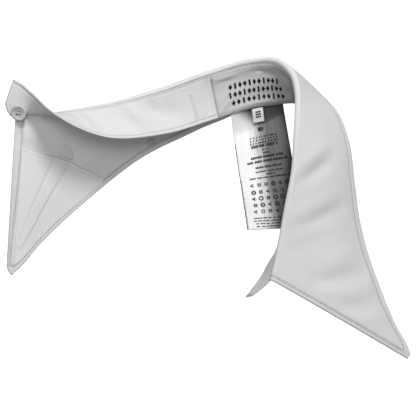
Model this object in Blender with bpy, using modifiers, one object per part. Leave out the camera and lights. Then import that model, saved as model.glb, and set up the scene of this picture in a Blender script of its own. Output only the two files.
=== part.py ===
"""Detachable shirt collar, lying open: band, leaf, stay pocket, collar stay, labels and buttons.

Metres in Blender, millimetres in the tables below. +Z is up, the collar rests on z = 0.
The fold line runs from the left front (negative s) over the centre back to the right front.
"""
import math
import bpy
import bmesh
import numpy as np
from mathutils import Matrix

MM = 0.001
CLOTH = 1.5            # wall of the band and the leaf
LABEL_WALL = 1.0       # wall of labels and the stay pocket
SEAM_GAP = 0.3         # space between two pieces at a seam
ROLL_RADIUS = 2.0      # mid-wall radius of the leaf where it folds over
ROLL_STAND = 1.6       # leaf showing above the band seam
TAB = 14.0             # band running past the leaf at each front
BAND_END_ROUND = 13.0  # how far the rounded corner at the fold sets the band's end back
CENTRE_SHIFT = (38.6, 112.0)   # brings the bounding box over the origin

# One row per section of the collar, millimetres.
# s: way along the fold; fold: top of the roll; leaf: outer edge; band: free edge;
# leaf_bow, band_bow: how far the section bulges between its two ends
SECTIONS = [
    # s,    fold x,y,z,            leaf x,y,z,           band x,y,z,        leaf_bow, band_bow
    (-216, (-200.0, -57.5, 41.0), (-200.0, -150.0, 0.6), (-192.5, -21.0, 51.0), 0.0, -1.0),
    (-201, (-188.0, -54.6, 42.0), (-195.2, -161.5, 0.6), (-179.8, -29.5, 55.0), 0.0, -1.5),
    (-197, (-184.2, -53.6, 41.4), (-191.5, -168.6, 0.6), (-176.8, -33.0, 56.5), 0.2, -1.7),
    (-192, (-179.5, -52.2, 40.7), (-186.8, -165.0, 0.6), (-172.8, -37.5, 58.8), 0.3, -1.9),
    (-169, (-157.6, -46.1, 38.0), (-169.5, -143.0, 0.6), (-155.0, -57.5, 65.0), 0.8, -2.5),
    (-124, (-114.6, -34.8, 34.0), (-134.0, -106.0, 0.6), (-114.0, -70.5, 46.0), 1.5, -3.0),
    (-82, (-74.8, -20.2, 31.0), (-92.0, -69.5, 0.6), (-70.5, -58.2, 25.0), 1.0, -2.5),
    (-38, (-34.9, -3.6, 30.0), (-46.0, -44.0, 0.6), (-31.0, -39.8, 13.0), 0.5, -1.5),
    (0, (2.2, 6.9, 32.0), (-1.0, -19.0, 0.6), (5.2, -25.6, 8.0), 0.0, -1.0),
    (14, (15.8, 5.5, 36.0), (16.0, -1.0, 0.6), (18.0, -22.3, 5.0), 0.5, -0.8),
    (25, (24.5, -0.3, 39.0), (31.0, 11.0, 0.6), (28.5, -19.8, 2.5), 1.0, -0.5),
    (36, (31.4, -9.1, 40.0), (44.5, 4.5, 0.6), (38.0, -18.5, 0.4), 1.5, 0.0),
    (56, (35.6, -28.0, 40.0), (62.0, -12.0, 0.6), (41.5, -30.0, 0.0), 2.0, 0.0),
    (70, (35.2, -42.0, 39.5), (72.5, -25.0, 0.6), (40.8, -43.0, 0.4), 2.5, 0.0),
    (93, (33.3, -65.3, 39.0), (81.5, -53.0, 0.6), (38.3, -66.0, 1.5), 3.0, 0.0),
    (125, (30.3, -96.6, 38.5), (84.5, -92.0, 0.6), (34.8, -97.0, 1.6), 3.0, 0.0),
    (155, (24.1, -126.2, 38.0), (87.5, -128.0, 0.6), (28.0, -126.5, 1.6), 3.0, 0.5),
    (184, (18.4, -155.0, 37.5), (97.5, -172.0, 0.6), (19.5, -155.5, 0.0), 2.5, 0.5),
    (197, (15.3, -168.5, 37.2), (109.0, -207.5, 0.6), (10.6, -165.6, 0.0), 2.0, 1.0),
    (207, (12.8, -178.7, 37.0), (119.0, -230.5, 0.6), (3.6, -174.4, 0.0), 1.5, 1.5),
    (212, (11.6, -183.6, 36.9), (116.5, -235.3, 0.6), (0.5, -178.5, 0.0), 1.0, 1.7),
    (227, (5.0, -195.5, 34.5), (112.0, -245.0, 0.6), (-8.8, -190.0, 0.0), 1.0, 2.0),
]
LEAF_ENDS = (-201.0, 212.0)


def section(s):
    """Fold, leaf edge, band edge, bows and fold direction at s, on a smooth curve through the rows."""
    rows = np.array([[r[0], *r[1], *r[2], *r[3], r[4], r[5]] for r in SECTIONS], float)
    x = rows[:, 0]
    slope = np.gradient(rows, x, axis=0)
    i = int(np.clip(np.searchsorted(x, s) - 1, 0, len(x) - 2))
    h = x[i + 1] - x[i]
    t = (s - x[i]) / h
    a, b, c, d = rows[i], rows[i + 1], slope[i] * h, slope[i + 1] * h
    value = ((2 * t**3 - 3 * t**2 + 1) * a + (t**3 - 2 * t**2 + t) * c
             + (3 * t**2 - 2 * t**3) * b + (t**3 - t**2) * d)
    rate = ((6 * t**2 - 6 * t) * a + (3 * t**2 - 4 * t + 1) * c
            + (6 * t - 6 * t**2) * b + (3 * t**2 - 2 * t) * d) / h
    return value[1:4], value[4:7], value[7:10], value[10], value[11], unit(rate[1:4])


def unit(v):
    return v / max(float(np.linalg.norm(v)), 1e-9)


def roll(s):
    """The fold at s: centre of the roll, band and leaf directions and their outward normals."""
    fold, leaf, band, leaf_bow, band_bow, along = section(s)
    to_band, to_leaf = unit(band - fold), unit(leaf - fold)
    top = unit(np.cross(along, to_leaf - to_band))
    centre = fold - ROLL_RADIUS * top
    band_side = unit(np.cross(along, -to_band))
    leaf_side = unit(np.cross(along, to_leaf))
    return centre, band_side, leaf_side, leaf, band, leaf_bow, band_bow


def leaf_point(s, v):
    """Leaf mid-wall: v from -2 (seam) to -1 (roll starts) to 0 (roll ends) to 1 (outer edge)."""
    centre, band_side, leaf_side, leaf, band, bow, _ = roll(s)
    start = centre + ROLL_RADIUS * band_side
    if v <= -1.0:
        return start + unit(band - start) * ROLL_STAND * (-1.0 - v)
    if v <= 0.0:
        t = v + 1.0
        return centre + ROLL_RADIUS * unit(band_side * (1 - t) + leaf_side * t)
    end = centre + ROLL_RADIUS * leaf_side
    return end + (leaf - end) * v + leaf_side * bow * 4 * v * (1 - v)


def band_point(s, v):
    """Band mid-wall: v from 0 (seam under the roll) to 1 (free edge)."""
    centre, band_side, _, _, band, _, bow = roll(s)
    start = centre + ROLL_RADIUS * band_side
    start = start + unit(band - start) * (ROLL_STAND + SEAM_GAP)
    return start + (band - start) * v + band_side * bow * 4 * v * (1 - v)


def band_reach(v):
    """How far the band runs past the leaf at height v: rounded above, set back a little below."""
    if v < 0.42:
        drop = 1.0 - v / 0.42
        return TAB - BAND_END_ROUND * drop ** 1.35
    return TAB - 4.0 * (v - 0.42)


def spaced(a, b, n):
    return [a + (b - a) * i / n for i in range(n + 1)]


def band_grid(n_long, n_high):
    """Rows of band points; the last part of each front is stretched to the shaped end."""
    rows = []
    for u in spaced(-1.0, 1.0, n_long):
        end = LEAF_ENDS[0] if u < 0 else LEAF_ENDS[1]
        core = abs(end) - 25.0
        row = []
        for v in spaced(0.0, 1.0, n_high):
            reach = abs(end) + band_reach(v)
            a = abs(u)
            s = a / 0.85 * core if a < 0.85 else core + (a - 0.85) / 0.15 * (reach - core)
            row.append(band_point(math.copysign(s, u), v))
        rows.append(row)
    return rows


def patch_grid(point, corners, n_s, n_v, lift):
    """Points of a panel moved off its surface; corners(t) gives s, v_low, v_high at t in 0..1."""
    rows = []
    for t in spaced(0.0, 1.0, n_s):
        s, low, high = corners(t)
        row = []
        for v in spaced(low, high, n_v):
            p = point(s, v)
            ds = point(s + 0.5, v) - point(s - 0.5, v)
            dv = point(s, v + 0.01) - point(s, v - 0.01)
            row.append(p + unit(np.cross(ds, dv)) * lift)
        rows.append(row)
    return rows


def material(name, colour, rough, sheen=0.0):
    m = bpy.data.materials.new(name)
    m.use_nodes = True
    node = m.node_tree.nodes["Principled BSDF"]
    node.inputs["Base Color"].default_value = (*colour, 1.0)
    node.inputs["Roughness"].default_value = rough
    node.inputs["Sheen Weight"].default_value = sheen
    return m


def mesh_object(name, verts, faces, mat):
    mesh = bpy.data.meshes.new(name)
    moved = [((x + CENTRE_SHIFT[0]) * MM, (y + CENTRE_SHIFT[1]) * MM, z * MM) for x, y, z in verts]
    mesh.from_pydata(moved, [], faces)
    mesh.materials.append(mat)
    obj = bpy.data.objects.new(name, mesh)
    bpy.context.scene.collection.objects.link(obj)
    return obj


def flatten_below(obj):
    """Apply the modifiers and press whatever lies under the surface flat onto it."""
    graph = bpy.context.evaluated_depsgraph_get()
    mesh = bpy.data.meshes.new_from_object(obj.evaluated_get(graph))
    for vert in mesh.vertices:
        vert.co.z = max(vert.co.z, 0.0)
    old = obj.data
    obj.modifiers.clear()
    obj.data = mesh
    bpy.data.meshes.remove(old)
    mesh.name = obj.name
    return obj


def cloth(name, rows, wall, mat):
    """A sheet through rows of points, thickened evenly about itself."""
    n = len(rows[0])
    verts = [p for row in rows for p in row]
    faces = []
    for i in range(len(rows) - 1):
        for j in range(n - 1):
            a = i * n + j
            faces.append((a, a + n, a + n + 1, a + 1))
    obj = mesh_object(name, verts, faces, mat)
    solid = obj.modifiers.new("wall", "SOLIDIFY")
    solid.thickness = wall * MM
    solid.offset = 0.0
    return flatten_below(obj)


def button(name, centre, face, across, high, holes, mat):
    """A turned disc with a dished face and sewing holes, its back towards the cloth."""
    profile = [(0.0, 0.0), (0.92, 0.0), (1.0, 0.28), (1.0, 0.72), (0.9, 1.0), (0.68, 0.92), (0.58, 0.72),
               (0.0, 0.72)]
    verts, faces, turns = [], [], 36
    ring = [(r * across / 2, z * high) for r, z in profile if r > 0]
    verts += [(0.0, 0.0, 0.0), (0.0, 0.0, profile[-1][1] * high)]
    for k in range(turns):
        a = 2 * math.pi * k / turns
        verts += [(r * math.cos(a), r * math.sin(a), z) for r, z in ring]
    m = len(ring)
    for k in range(turns):
        a, b = 2 + k * m, 2 + ((k + 1) % turns) * m
        faces.append((0, b, a))
        faces.append((1, a + m - 1, b + m - 1))
        faces += [(a + j, b + j, b + j + 1, a + j + 1) for j in range(m - 1)]
    z = unit(np.array(face, float))
    x = unit(np.cross((0.0, 1.0, 0.2), z))
    y = np.cross(z, x)
    place = lambda p: np.array(centre, float) + x * p[0] + y * p[1] + z * p[2]
    obj = mesh_object(name, [place(p) for p in verts], faces, mat)
    for k in range(holes):
        a = 2 * math.pi * (k + 0.5) / holes
        spot = place((across * 0.13 * math.cos(a), across * 0.13 * math.sin(a), high * 0.4))
        drill(obj, f"{name}_hole_{k + 1}", spot, z, across * 0.055, high * 3)
    return obj


def drill(obj, name, spot, axis, radius, length):
    mesh = bpy.data.meshes.new(name)
    bm = bmesh.new()
    bmesh.ops.create_cone(bm, cap_ends=True, segments=12, radius1=radius * MM, radius2=radius * MM,
                          depth=length * MM)
    bm.to_mesh(mesh)
    bm.free()
    cutter = bpy.data.objects.new(name, mesh)
    bpy.context.scene.collection.objects.link(cutter)
    x = unit(np.cross((0.1, 1.0, 0.2), axis))
    y = np.cross(axis, x)
    spot = ((spot[0] + CENTRE_SHIFT[0]) * MM, (spot[1] + CENTRE_SHIFT[1]) * MM, spot[2] * MM)
    cutter.matrix_world = Matrix([[x[0], y[0], axis[0], spot[0]], [x[1], y[1], axis[1], spot[1]],
                                  [x[2], y[2], axis[2], spot[2]], [0, 0, 0, 1]])
    cutter.hide_render = True
    cutter.display_type = "WIRE"
    cut = obj.modifiers.new(name, "BOOLEAN")
    cut.operation = "DIFFERENCE"
    cut.solver = "EXACT"
    cut.object = cutter


for old_object in list(bpy.data.objects):
    bpy.data.objects.remove(old_object)

cotton = material("cotton_band", (0.86, 0.86, 0.86), 0.85, 0.2)
cotton_leaf = material("cotton_leaf", (0.88, 0.88, 0.88), 0.85, 0.2)
cotton_patch = material("cotton_pocket", (0.84, 0.84, 0.84), 0.85, 0.2)
tape = material("woven_label", (0.9, 0.9, 0.9), 0.7)
satin = material("satin_label", (0.78, 0.78, 0.78), 0.35)
tag_tape = material("tag_tape", (0.9, 0.9, 0.9), 0.6)
gloss = material("button_gloss", (0.9, 0.9, 0.88), 0.15)
stay_plastic = material("stay_plastic", (0.85, 0.85, 0.85), 0.3)

# band and leaf
band_rows = band_grid(76, 7)
cloth("band", band_rows, CLOTH, cotton)
heights = [-2.0, -1.5, -1.0, -0.75, -0.5, -0.25, 0.0] + spaced(0.0, 1.0, 10)[1:]
leaf_rows = [[leaf_point(s, v) for v in heights] for s in spaced(*LEAF_ENDS, 74)]
cloth("leaf", leaf_rows, CLOTH, cotton_leaf)


# stay pocket on the underside of the left point: upper edge falls from the front to the outer edge
POCKET_TOP = [(-199.0, 0.145), (-163.0, 0.347), (-149.0, 0.45), (-128.0, 0.66), (-111.0, 0.90)]


def pocket_top(s):
    return float(np.interp(s, [r[0] for r in POCKET_TOP], [r[1] for r in POCKET_TOP]))


def pocket(t):
    s = -199.0 + 88.0 * t
    return s, pocket_top(s), 0.965


LIFT_PATCH = CLOTH / 2 + SEAM_GAP + LABEL_WALL / 2
cloth("stay_pocket", patch_grid(leaf_point, pocket, 22, 8, -LIFT_PATCH), LABEL_WALL, cotton_patch)


# collar stay: a flat plastic strip whose rounded end shows above the pocket
def stay(t):
    s = -163.0 + 14.5 * t
    bulge = 0.095 * math.sqrt(max(0.0, 1.0 - (2 * t - 1) ** 2))
    low = pocket_top(s)
    return s, low - 0.02 - bulge, low - 0.012


cloth("collar_stay", patch_grid(leaf_point, stay, 12, 4, -LIFT_PATCH), LABEL_WALL, stay_plastic)


# woven label on the inside of the band at the centre back
def back_label(t):
    return -34.0 + 72.0 * t, 0.045, 0.97


cloth("woven_label", patch_grid(band_point, back_label, 20, 6, -LIFT_PATCH), LABEL_WALL, tape)

# satin label: sewn under the free edge of the band, then lying on the surface; its right part
# runs on under the standing band of the right arm
LABEL_WIDE = 44.0
LABEL_LENGTH = 100.0
LABEL_LEFT = -16.4


def hanging(across, down, lift=0.0):
    """Point of the satin label: across 0..1 over its width, down in mm from the band's free edge."""
    x = LABEL_LEFT + LABEL_WIDE * across
    s = float(np.interp(x, (-31.0, 5.2, 18.0, 28.5), (-38.0, 0.0, 14.0, 25.0)))
    edge, above = band_point(s, 1.0), band_point(s, 0.95)
    outward = unit(np.cross(band_point(s + 0.5, 1.0) - band_point(s - 0.5, 1.0), edge - above))
    top = edge + outward * (CLOTH / 2 + SEAM_GAP + LABEL_WALL / 2)
    if down < 0.0:
        return top + unit(edge - above) * down + np.array([0.0, 0.0, lift])
    end = -131.2 + 2.2 * across
    y = top[1] + (end - top[1]) * down / LABEL_LENGTH
    low = LABEL_WALL / 2
    height = max(float(top[2]) - low, 0.0)
    u = min(down / (7.0 + 1.3 * height), 1.0)
    z = low + height * (1.0 - u) ** 2 * (1.0 + u)
    return np.array([x + 0.1265 * (top[1] - y), y, z + lift])


satin_rows = [[hanging(a, d) for d in (-2.0, -1.0, 0.0, 2.0, 4.0, 7.0, 11.0, 16.0, 24.0, 50.0, 75.0, 100.0)]
              for a in spaced(0.0, 1.0, 10)]
cloth("satin_label", satin_rows, LABEL_WALL, satin)

# small folded tag on top of it
tag_rows = [[hanging(a, d, 1.9) + np.array([0.0, -1.6, 0.0]) for d in (0.5, 2.0, 4.0, 6.0, 8.0, 10.5)]
            for a in spaced(0.39, 0.60, 3)]
cloth("size_tag", tag_rows, LABEL_WALL, tag_tape)


# buttons: one on the outer face of the band's left front, one small on the leaf's underside
def on_panel(point, s, v, lift):
    ds = point(s + 0.5, v) - point(s - 0.5, v)
    dv = point(s, v + 0.01) - point(s, v - 0.01)
    normal = unit(np.cross(ds, dv)) * math.copysign(1.0, lift)
    return point(s, v) + normal * abs(lift), normal


spot, normal = on_panel(band_point, -199.2, 0.19, CLOTH / 2 + 0.7)
button("front_button", spot, normal, 12.5, 2.6, 4, gloss)
spot, normal = on_panel(leaf_point, -75.5, 0.83, -(CLOTH / 2 + 0.6))
button("small_button", spot, normal, 6.0, 1.8, 2, gloss)
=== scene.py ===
"""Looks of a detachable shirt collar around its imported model: cotton shells, stitching, labels, buttons."""
import functools
import math

import bpy
import numpy as np
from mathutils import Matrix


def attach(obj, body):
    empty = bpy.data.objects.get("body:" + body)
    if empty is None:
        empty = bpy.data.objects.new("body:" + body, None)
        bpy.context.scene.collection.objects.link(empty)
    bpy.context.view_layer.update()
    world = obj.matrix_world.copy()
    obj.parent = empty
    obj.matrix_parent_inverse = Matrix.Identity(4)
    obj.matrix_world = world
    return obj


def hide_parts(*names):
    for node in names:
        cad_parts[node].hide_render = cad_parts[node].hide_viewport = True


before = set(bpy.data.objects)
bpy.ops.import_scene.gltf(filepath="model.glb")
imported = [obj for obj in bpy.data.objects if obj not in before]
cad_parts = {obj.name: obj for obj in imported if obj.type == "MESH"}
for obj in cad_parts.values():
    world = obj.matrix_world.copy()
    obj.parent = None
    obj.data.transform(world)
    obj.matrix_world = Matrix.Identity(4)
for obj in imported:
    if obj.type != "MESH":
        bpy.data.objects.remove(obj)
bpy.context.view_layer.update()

MM = 0.001
LOWEST = 0.05  # millimetres above the surface
CENTRE_SHIFT = (38.6, 112.0)  # moves the millimetres of SECTIONS to the model's frame

# ---------------------------------------------------------------- camera and sky
VIEW_TARGET = (2.9, -11.3, 30.0)  # millimetres
VIEW_DISTANCE = 698.0
VIEW_ELEVATION = 70.0             # degrees above the surface
LENS = 77.9
SKY_HEIGHTS = (-0.25, 0.35)       # between these heights of the view direction the sky brightens
SKY_STRENGTHS = (0.08, 0.31)

cam_data = bpy.data.cameras.new("camera")
cam_data.lens = LENS
cam_data.sensor_width = 36.0
camera = bpy.data.objects.new("camera", cam_data)
bpy.context.scene.collection.objects.link(camera)
tilt = math.radians(VIEW_ELEVATION)
camera.location = (VIEW_TARGET[0] * MM, (VIEW_TARGET[1] - VIEW_DISTANCE * math.cos(tilt)) * MM,
                   (VIEW_TARGET[2] + VIEW_DISTANCE * math.sin(tilt)) * MM)
camera.rotation_euler = (math.pi / 2 - tilt, 0.0, 0.0)
bpy.context.scene.camera = camera
bpy.context.scene.view_settings.view_transform = "Standard"

world = bpy.data.worlds.new("studio")
world.use_nodes = True
sky = world.node_tree
direction = sky.nodes.new("ShaderNodeTexCoord")
split_sky = sky.nodes.new("ShaderNodeSeparateXYZ")
ramp = sky.nodes.new("ShaderNodeMapRange")
for end, height, strength in zip(("Min", "Max"), SKY_HEIGHTS, SKY_STRENGTHS):
    ramp.inputs["From " + end].default_value = height
    ramp.inputs["To " + end].default_value = strength
sky.links.new(direction.outputs["Generated"], split_sky.inputs[0])
sky.links.new(split_sky.outputs["Z"], ramp.inputs["Value"])
sky.links.new(ramp.outputs["Result"], sky.nodes["Background"].inputs["Strength"])
sky.nodes["Background"].inputs["Color"].default_value = (1.0, 1.0, 1.0, 1.0)
bpy.context.scene.world = world


def area_light(name, place, size, power):
    """A round lamp that points at the frame's origin."""
    data = bpy.data.lights.new(name, "AREA")
    data.shape = "DISK"
    data.size = size
    data.energy = power
    light = bpy.data.objects.new(name, data)
    bpy.context.scene.collection.objects.link(light)
    light.location = place
    x, y, z = (0.0 - c for c in place)
    light.rotation_euler = (math.atan2(math.hypot(x, y), -z), 0.0, math.atan2(x, -y) + math.pi)


# ---------------------------------------------------------------- node helpers
def new_material(name):
    """A node material, with its nodes and links."""
    m = bpy.data.materials.new(name)
    m.use_nodes = True
    return m, m.node_tree.nodes, m.node_tree.links


def math_node(nodes, links, kind, a, b=None, c=None):
    """Output of a maths node whose inputs are numbers or other outputs."""
    n = nodes.new("ShaderNodeMath")
    n.operation = kind
    for i, v in enumerate((a, b, c)):
        if v is None:
            continue
        if isinstance(v, (int, float)):
            n.inputs[i].default_value = v
        else:
            links.new(v, n.inputs[i])
    return n.outputs[0]


def mix_colour(nodes, links, factor, a, b):
    """Output that blends from a to b; each is a colour or another output."""
    n = nodes.new("ShaderNodeMix")
    n.data_type = "RGBA"
    links.new(factor, n.inputs["Factor"])
    for key, v in (("A", a), ("B", b)):
        if isinstance(v, tuple):
            n.inputs[key].default_value = (*v, 1.0)
        else:
            links.new(v, n.inputs[key])
    return n.outputs["Result"]


def noise_node(nodes, links, vector, scale, detail=None):
    """Output of a noise texture over a vector."""
    n = nodes.new("ShaderNodeTexNoise")
    n.inputs["Scale"].default_value = scale
    if detail is not None:
        n.inputs["Detail"].default_value = detail
    links.new(vector, n.inputs["Vector"])
    return n.outputs["Fac"]


def stretched(nodes, links, vector, scale):
    """A vector scaled by its own factor on each axis."""
    n = nodes.new("ShaderNodeMapping")
    n.inputs["Scale"].default_value = scale
    links.new(vector, n.inputs["Vector"])
    return n.outputs["Vector"]


def bump_node(nodes, links, height, strength, distance, normal=None):
    """Normal output raised by a height."""
    n = nodes.new("ShaderNodeBump")
    n.inputs["Strength"].default_value = strength
    n.inputs["Distance"].default_value = distance
    links.new(height, n.inputs["Height"])
    if normal is not None:
        links.new(normal, n.inputs["Normal"])
    return n.outputs["Normal"]


def map_node(nodes, name):
    """Output of one of the maps that shell() lays over its cloth."""
    n = nodes.new("ShaderNodeUVMap")
    n.uv_map = name
    return n.outputs["UV"]


def split_node(nodes, links, vector):
    """The three outputs of a vector."""
    n = nodes.new("ShaderNodeSeparateXYZ")
    links.new(vector, n.inputs[0])
    return n.outputs


GRAIN_DEPTH = 0.0002  # metres of relief for weave and grain
SEAM_DEPTH = 0.0009   # and for pressed seams
DARK_SHARE = 0.84     # of the colour, in the darkest thread
PAINTED_SHADE_SHARE = 0.50   # of the colour left where the 'edge' map's second value, the painted shade, is 1


def cloth_material(name, colour, pitch=0.42, rough=0.88):
    """Plain weave in millimetres of cloth, faint slub, pressed seam grooves from the 'edge' map's first value,
    and painted shade from its second.
    """
    m, nodes, links = new_material(name)
    shader = nodes["Principled BSDF"]
    cloth = map_node(nodes, "cloth")
    split = split_node(nodes, links, cloth)
    turn = 2 * math.pi / (pitch * MM)
    warp, weft = (math_node(nodes, links, "SINE", math_node(nodes, links, "MULTIPLY", split[axis], turn))
                  for axis in ("X", "Y"))
    weave = math_node(nodes, links, "MULTIPLY", warp, weft)
    slub = noise_node(nodes, links, stretched(nodes, links, cloth, (0.25, 1.0, 1.0)), 900.0, 3.0)
    cloud = noise_node(nodes, links, cloth, 35.0)
    height = math_node(nodes, links, "MULTIPLY_ADD", weave, 0.35,
                       math_node(nodes, links, "MULTIPLY", slub, 0.8))
    weave_normal = bump_node(nodes, links, height, 0.22, GRAIN_DEPTH)
    shade = math_node(nodes, links, "MULTIPLY_ADD", slub, 0.35,
                      math_node(nodes, links, "MULTIPLY", cloud, 0.45))
    tint = mix_colour(nodes, links, shade, tuple(c * DARK_SHARE for c in colour), colour)
    edge = split_node(nodes, links, map_node(nodes, "edge"))
    normal = bump_node(nodes, links, edge["X"], 0.9, SEAM_DEPTH, weave_normal)
    # painted shade: the 'edge' map's second value darkens the colour
    tint = mix_colour(nodes, links, edge["Y"], tint, tuple(c * PAINTED_SHADE_SHARE for c in colour))
    links.new(tint, shader.inputs["Base Color"])
    links.new(normal, shader.inputs["Normal"])
    shader.inputs["Roughness"].default_value = rough
    shader.inputs["Sheen Weight"].default_value = 0.25
    shader.inputs["Sheen Roughness"].default_value = 0.5
    shader.inputs["Specular IOR Level"].default_value = 0.25
    return m


# ---------------------------------------------------------------- form of the collar: the model's sections
ROLL_RADIUS = 2.0      # of the fold between leaf and band
ROLL_STAND = 1.6       # leaf cloth running down beside the band's top
SEAM_GAP = 0.08        # between that cloth and the band; narrower than in the model
TAB = 14.0             # band running past the leaf at each front
BAND_END_ROUND = 13.0  # how far the rounded corner at the fold sets the band's end back
ROUND_TO = 0.42        # share of the band's height that the rounded corner takes
# s: way along the fold; fold: top of the roll; leaf: outer edge; band: free edge (millimetres);
# leaf_bow, band_bow: how far the section bulges between its two ends
SECTIONS = [
    # s,    fold x,y,z,            leaf x,y,z,           band x,y,z,        leaf_bow, band_bow
    (-216, (-200.0, -57.5, 41.0), (-200.0, -150.0, 0.6), (-192.5, -21.0, 51.0), 0.0, -1.0),
    (-201, (-188.0, -54.6, 42.0), (-195.2, -161.5, 0.6), (-179.8, -29.5, 55.0), 0.0, -1.5),
    (-197, (-184.2, -53.6, 41.4), (-191.5, -168.6, 0.6), (-176.8, -33.0, 56.5), 0.2, -1.7),
    (-192, (-179.5, -52.2, 40.7), (-186.8, -165.0, 0.6), (-172.8, -37.5, 58.8), 0.3, -1.9),
    (-169, (-157.6, -46.1, 38.0), (-169.5, -143.0, 0.6), (-155.0, -57.5, 65.0), 0.8, -2.5),
    (-124, (-114.6, -34.8, 34.0), (-134.0, -106.0, 0.6), (-114.0, -70.5, 46.0), 1.5, -3.0),
    (-82, (-74.8, -20.2, 31.0), (-92.0, -69.5, 0.6), (-70.5, -58.2, 25.0), 1.0, -2.5),
    (-38, (-34.9, -3.6, 30.0), (-46.0, -44.0, 0.6), (-31.0, -39.8, 13.0), 0.5, -1.5),
    (0, (2.2, 6.9, 32.0), (-1.0, -19.0, 0.6), (5.2, -25.6, 8.0), 0.0, -1.0),
    (14, (15.8, 5.5, 36.0), (16.0, -1.0, 0.6), (18.0, -22.3, 5.0), 0.5, -0.8),
    (25, (24.5, -0.3, 39.0), (31.0, 11.0, 0.6), (28.5, -19.8, 2.5), 1.0, -0.5),
    (36, (31.4, -9.1, 40.0), (44.5, 4.5, 0.6), (38.0, -18.5, 0.4), 1.5, 0.0),
    (56, (35.6, -28.0, 40.0), (62.0, -12.0, 0.6), (41.5, -30.0, 0.0), 2.0, 0.0),
    (70, (35.2, -42.0, 39.5), (72.5, -25.0, 0.6), (40.8, -43.0, 0.4), 2.5, 0.0),
    (93, (33.3, -65.3, 39.0), (81.5, -53.0, 0.6), (38.3, -66.0, 1.5), 3.0, 0.0),
    (125, (30.3, -96.6, 38.5), (84.5, -92.0, 0.6), (34.8, -97.0, 1.6), 3.0, 0.0),
    (155, (24.1, -126.2, 38.0), (87.5, -128.0, 0.6), (28.0, -126.5, 1.6), 3.0, 0.5),
    (184, (18.4, -155.0, 37.5), (97.5, -172.0, 0.6), (19.5, -155.5, 0.0), 2.5, 0.5),
    (197, (15.3, -168.5, 37.2), (109.0, -207.5, 0.6), (10.6, -165.6, 0.0), 2.0, 1.0),
    (207, (12.8, -178.7, 37.0), (119.0, -230.5, 0.6), (3.6, -174.4, 0.0), 1.5, 1.5),
    (212, (11.6, -183.6, 36.9), (116.5, -235.3, 0.6), (0.5, -178.5, 0.0), 1.0, 1.7),
    (227, (5.0, -195.5, 34.5), (112.0, -245.0, 0.6), (-8.8, -190.0, 0.0), 1.0, 2.0),
]
LEAF_ENDS = (-201.0, 212.0)
ROWS = np.array([[r[0], *r[1], *r[2], *r[3], r[4], r[5]] for r in SECTIONS], float)
SLOPES = np.gradient(ROWS, ROWS[:, 0], axis=0)


def unit(v):
    """Vectors at length 1."""
    return v / np.maximum(np.linalg.norm(v, axis=-1, keepdims=True), 1e-9)


@functools.lru_cache(None)
def roll(s):
    """Section at s: centre of the roll, directions out of its two sides, leaf and band ends, their bows."""
    x = ROWS[:, 0]
    i = int(np.clip(np.searchsorted(x, s) - 1, 0, len(x) - 2))
    h = x[i + 1] - x[i]
    t = (s - x[i]) / h
    a, b, c, d = ROWS[i], ROWS[i + 1], SLOPES[i] * h, SLOPES[i + 1] * h
    value = ((2 * t**3 - 3 * t**2 + 1) * a + (t**3 - 2 * t**2 + t) * c
             + (3 * t**2 - 2 * t**3) * b + (t**3 - t**2) * d)
    rate = ((6 * t**2 - 6 * t) * a + (3 * t**2 - 4 * t + 1) * c
            + (6 * t - 6 * t**2) * b + (3 * t**2 - 2 * t) * d) / h
    fold, leaf, band, leaf_bow, band_bow = value[1:4], value[4:7], value[7:10], value[10], value[11]
    along = unit(rate[1:4])
    to_band, to_leaf = unit(band - fold), unit(leaf - fold)
    top = unit(np.cross(along, to_leaf - to_band))
    centre = fold - ROLL_RADIUS * top
    band_side, leaf_side = unit(np.cross(along, -to_band)), unit(np.cross(along, to_leaf))
    return centre, band_side, leaf_side, leaf, band, leaf_bow, band_bow


def leaf_point(s, v):
    """Middle of the leaf's cloth: v to -1 runs up the band's side, to 0 over the roll, to 1 down the fall."""
    centre, band_side, leaf_side, leaf, band, bow, _ = roll(s)
    start = centre + ROLL_RADIUS * band_side
    if v <= -1.0:
        return start + unit(band - start) * ROLL_STAND * (-1.0 - v)
    if v <= 0.0:
        t = v + 1.0
        return centre + ROLL_RADIUS * unit(band_side * (1 - t) + leaf_side * t)
    end = centre + ROLL_RADIUS * leaf_side
    return end + (leaf - end) * v + leaf_side * bow * 4 * v * (1 - v)


def band_point(s, v):
    """Middle of the band's cloth, v 0 at the fold to 1 at the free edge."""
    centre, band_side, _, _, band, _, bow = roll(s)
    start = centre + ROLL_RADIUS * band_side
    start = start + unit(band - start) * (ROLL_STAND + SEAM_GAP)
    return start + (band - start) * v + band_side * bow * 4 * v * (1 - v)


def band_reach(v):
    """How far the band runs past the leaf's end at each height."""
    if v < ROUND_TO:
        drop = 1.0 - v / ROUND_TO
        return TAB - BAND_END_ROUND * drop ** 1.35
    return TAB - 4.0 * (v - ROUND_TO)


def spaced(a, b, n):
    """n even steps from a to b, both ends included."""
    return [a + (b - a) * i / n for i in range(n + 1)]


def smooth(x, low, high):
    """0 below low, 1 above high, with a soft passage between."""
    t = np.clip((np.asarray(x, float) - low) / (high - low), 0.0, 1.0)
    return t * t * (3 - 2 * t)


# ---------------------------------------------------------------- shells
def lengths(points):
    """Distances along the rows (axis 0) and along the columns (axis 1), from their first point."""
    a = np.zeros(points.shape[:2])
    b = np.zeros(points.shape[:2])
    a[1:] = np.cumsum(np.linalg.norm(np.diff(points, axis=0), axis=2), axis=0)
    b[:, 1:] = np.cumsum(np.linalg.norm(np.diff(points, axis=1), axis=2), axis=1)
    return a, b


def border_distance(along, down):
    """Distance of each grid point from the nearest of a panel's four edges."""
    return np.minimum(np.minimum(down, down[:, -1:] - down), np.minimum(along, along[-1:] - along))


def grid_normals(points):
    """The normal at each grid point."""
    return unit(np.cross(np.gradient(points, axis=0), np.gradient(points, axis=1)))


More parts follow.
